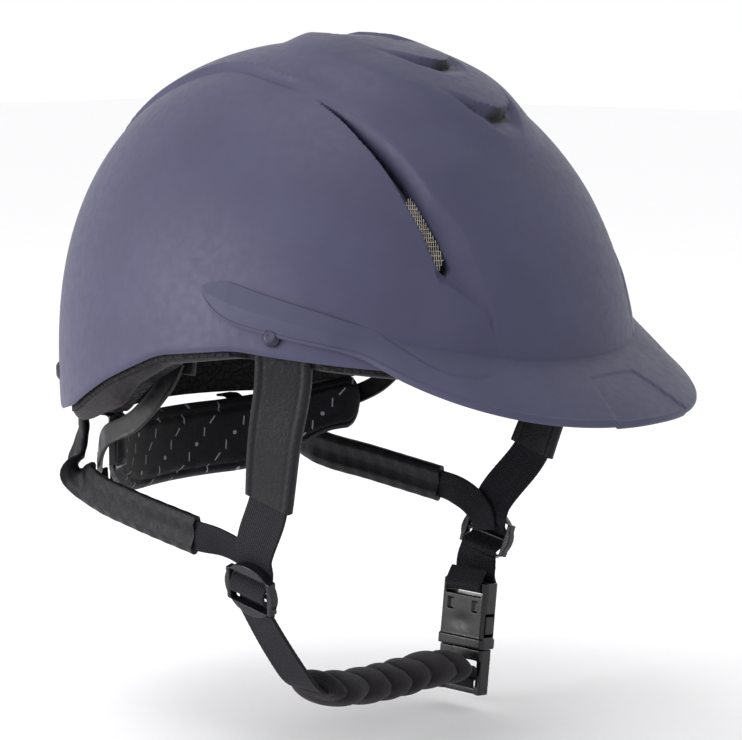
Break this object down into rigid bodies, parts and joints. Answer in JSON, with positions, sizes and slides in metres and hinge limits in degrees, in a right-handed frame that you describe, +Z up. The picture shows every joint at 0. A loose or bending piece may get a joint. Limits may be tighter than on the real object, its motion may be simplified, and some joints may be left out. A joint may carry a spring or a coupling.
{
  "type": "riding helmet",
  "caption": "Riding helmet with a matt domed shell, swept peak, vented liner, dial-fit rear cradle, leather-sleeved side straps and a padded chin strap with a side-release buckle.",
  "frame": {"origin": "middle of the head opening, at the level where the shell is widest; the head seats here", "axes": "+Z up through the crown, -Y towards the peak, +X towards the wearer's left"},
  "size_m": [0.2122, 0.305, 0.295],
  "materials": {
    "shell": "soft matt paint",
    "peak": "soft matt paint",
    "foam": "fine bead foam",
    "trim": "matt",
    "mesh": "woven wire",
    "lining": "printed knit",
    "hook": "hook and loop",
    "steel": "plain",
    "rivet": "satin black",
    "leather": "fine grain",
    "webbing": "ribbed weave",
    "chin_pad": "quilted suede cloth",
    "plastic": "satin"
  },
  "bodies": {
    "root": {"outer_shell": "shell", "peak": "peak", "eps_liner": "foam", "edge_trim": "trim", "mesh_insert_left": "mesh", "mesh_insert_right": "mesh", "comfort_headband": "lining", "crown_pad": "lining", "hook_patches": "hook", "anchor_plates": "steel", "front_rivets": "rivet", "rear_rivets": "rivet", "front_sleeve_left": "leather", "front_sleeve_right": "leather", "rear_sleeve_left": "leather", "rear_sleeve_right": "leather", "front_webbing_left": "webbing", "front_webbing_right": "webbing", "rear_webbing_left": "webbing", "rear_webbing_right": "webbing", "buckle_webbing": "webbing", "chin_webbing": "webbing", "cradle_hanger_left": "webbing", "cradle_hanger_right": "webbing", "chin_pad": "chin_pad", "buckle_female": "plastic", "band_clip_left": "plastic", "band_clip_right": "plastic", "left_band": "plastic", "right_band": "plastic"},
    "cradle": {"cradle_pad": "lining", "cradle_carrier": "plastic", "dial_housing": "plastic"},
    "dial": {"dial_knob": "plastic", "dial_screw": "steel", "dial_pinion": "plastic"},
    "left_rack": {"left_rack": "plastic"},
    "right_rack": {"right_rack": "plastic"},
    "buckle_male": {"buckle_male": "plastic"},
    "prong_front": {"prong_front": "plastic"},
    "prong_rear": {"prong_rear": "plastic"},
    "slider_left": {"slider_left": "plastic"},
    "slider_right": {"slider_right": "plastic"}
  },
  "joints": [
    {"name": "cradle_slide", "type": "slide", "parent": "root", "child": "cradle", "axis": [0, -1, 0], "range_m": [-0.003, 0.012], "deforming": ["left_band", "right_band", "cradle_hanger_left", "cradle_hanger_right"]},
    {"name": "dial_turn", "type": "hinge", "parent": "cradle", "child": "dial", "pos_m": [0, 0.113, -0.048], "axis": [0, -1, 0], "range_deg": [-29, 115]},
    {"name": "left_rack_slide", "type": "slide", "parent": "cradle", "child": "left_rack", "axis": [-1, 0, 0], "range_m": [-0.003, 0.012]},
    {"name": "right_rack_slide", "type": "slide", "parent": "cradle", "child": "right_rack", "axis": [1, 0, 0], "range_m": [-0.003, 0.012]},
    {"name": "buckle_release", "type": "slide", "parent": "root", "child": "buckle_male", "axis": [-0.1219, 0, -0.9925], "range_m": [0, 0.024], "deforming": ["chin_webbing", "chin_pad", "prong_front", "prong_rear"]},
    {"name": "prong_front_press", "type": "hinge", "parent": "buckle_male", "child": "prong_front", "pos_m": [0.05916, -0.0261, -0.13326], "axis": [-0.9925, 0, 0.1219], "range_deg": [0, 8], "stiffness_Nm_per_rad": 0.3},
    {"name": "prong_rear_press", "type": "hinge", "parent": "buckle_male", "child": "prong_rear", "pos_m": [0.05916, -0.0109, -0.13326], "axis": [0.9925, 0, -0.1219], "range_deg": [0, 8], "stiffness_Nm_per_rad": 0.3},
    {"name": "slider_left_slide", "type": "slide", "parent": "root", "child": "slider_left", "axis": [0.2503, -0.1802, 0.9512], "range_m": [-0.002, 0.012], "deforming": ["front_webbing_left", "rear_webbing_left", "buckle_webbing"]},
    {"name": "slider_right_slide", "type": "slide", "parent": "root", "child": "slider_right", "axis": [-0.2503, -0.1802, 0.9512], "range_m": [-0.01, 0.012], "deforming": ["front_webbing_right", "rear_webbing_right", "chin_webbing"]}
  ],
  "couplings": [
    {"joint": "dial_turn", "follows": "cradle_slide", "rad_per_m": 166.67},
    {"joint": "left_rack_slide", "follows": "cradle_slide", "ratio": 1},
    {"joint": "right_rack_slide", "follows": "cradle_slide", "ratio": 1}
  ]
}
